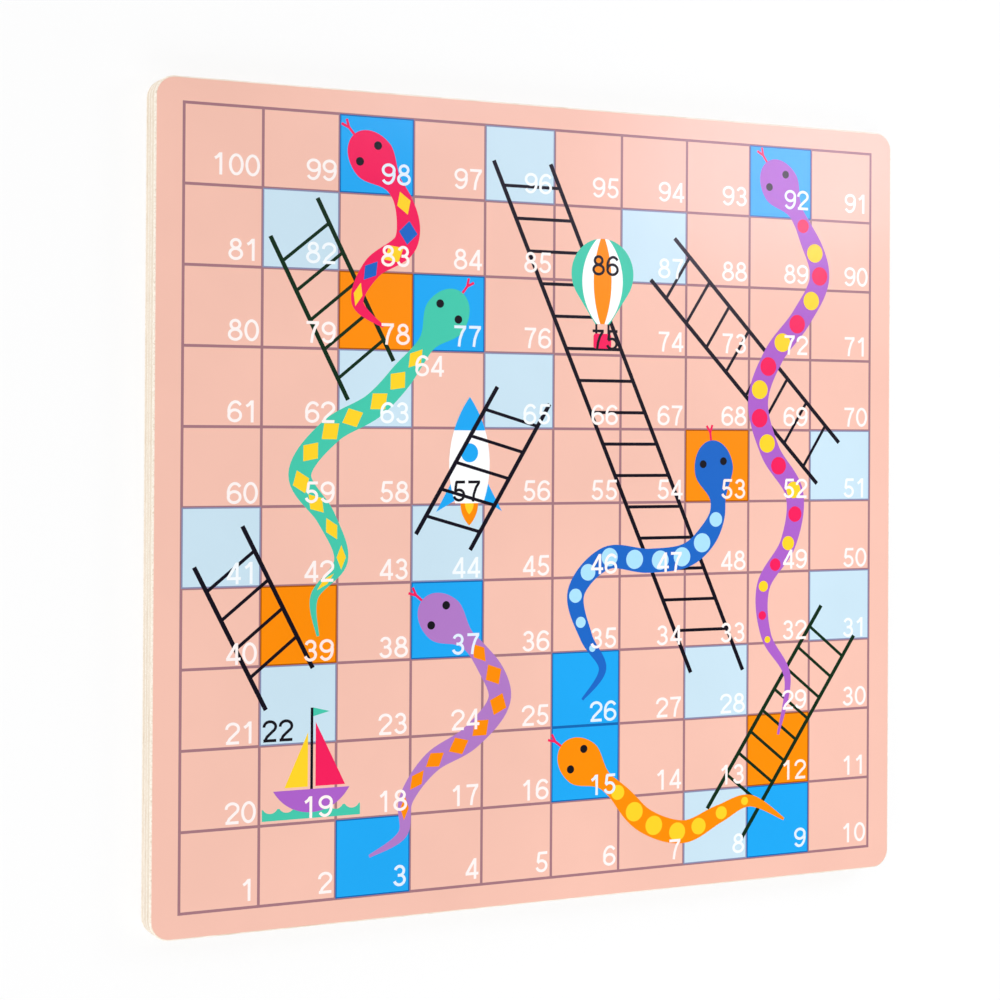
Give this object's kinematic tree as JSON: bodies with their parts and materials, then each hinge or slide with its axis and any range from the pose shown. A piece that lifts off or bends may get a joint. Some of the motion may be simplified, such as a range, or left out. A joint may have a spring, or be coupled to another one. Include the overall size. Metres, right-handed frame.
{
  "type": "wooden game board",
  "caption": "Rigid laminated wooden game board with rounded corners, printed with a numbered snakes-and-ladders course on its face and a flying-chess course on its back.",
  "frame": {"origin": "middle of the back face, on which the board lies", "axes": "+X along the rows of the course, +Y up the course from its first row, +Z out of the printed face"},
  "size_m": [0.3, 0.2896, 0.0108],
  "materials": {
    "veneer_long_grain": "fine sanded, unfinished",
    "veneer_cross_grain": "fine sanded, unfinished",
    "pink_coat": "satin lacquered print",
    "line_ink": "satin lacquered print",
    "blue_ink": "satin lacquered print",
    "sky_ink": "satin lacquered print",
    "orange_ink": "satin lacquered print",
    "green_ink": "satin lacquered print",
    "navy_ink": "satin lacquered print",
    "deep_blue_ink": "satin lacquered print",
    "teal_ink": "satin lacquered print",
    "purple_ink": "satin lacquered print",
    "red_ink": "satin lacquered print",
    "lilac_ink": "satin lacquered print",
    "yellow_ink": "satin lacquered print",
    "pale_blue_ink": "satin lacquered print",
    "white_ink": "satin lacquered print",
    "black_ink": "satin lacquered print",
    "back_red_ink": "satin lacquered print",
    "back_yellow_ink": "satin lacquered print",
    "back_blue_ink": "satin lacquered print",
    "back_green_ink": "satin lacquered print"
  },
  "bodies": {
    "root": {"back_base_coat": "pink_coat", "red_back_print": "back_red_ink", "yellow_back_print": "back_yellow_ink", "blue_back_print": "back_blue_ink", "green_back_print": "back_green_ink", "back_parking_spots": "white_ink", "back_face_veneer": "veneer_long_grain", "back_cross_veneer": "veneer_cross_grain", "back_inner_veneer": "veneer_long_grain", "core_veneer": "veneer_cross_grain", "front_inner_veneer": "veneer_long_grain", "front_cross_veneer": "veneer_cross_grain", "front_face_veneer": "veneer_long_grain", "front_base_coat": "pink_coat", "course_lines": "line_ink", "blue_squares": "blue_ink", "sky_squares": "sky_ink", "orange_squares": "orange_ink", "green_ladders": "green_ink", "navy_ladders": "navy_ink", "teal_snake": "teal_ink", "purple_snake": "purple_ink", "blue_snake": "deep_blue_ink", "red_snake": "red_ink", "orange_snake": "orange_ink", "lilac_snake": "lilac_ink", "yellow_marks": "yellow_ink", "red_marks": "red_ink", "blue_marks": "deep_blue_ink", "pale_blue_marks": "pale_blue_ink", "orange_marks": "orange_ink", "snake_eyes": "black_ink", "snake_tongues": "red_ink", "white_motifs": "white_ink", "motif_middles": "orange_ink", "yellow_motifs": "yellow_ink", "teal_motifs": "teal_ink", "red_motifs": "red_ink", "navy_motifs": "navy_ink", "blue_motifs": "blue_ink", "purple_motifs": "purple_ink"}
  },
  "joints": []
}
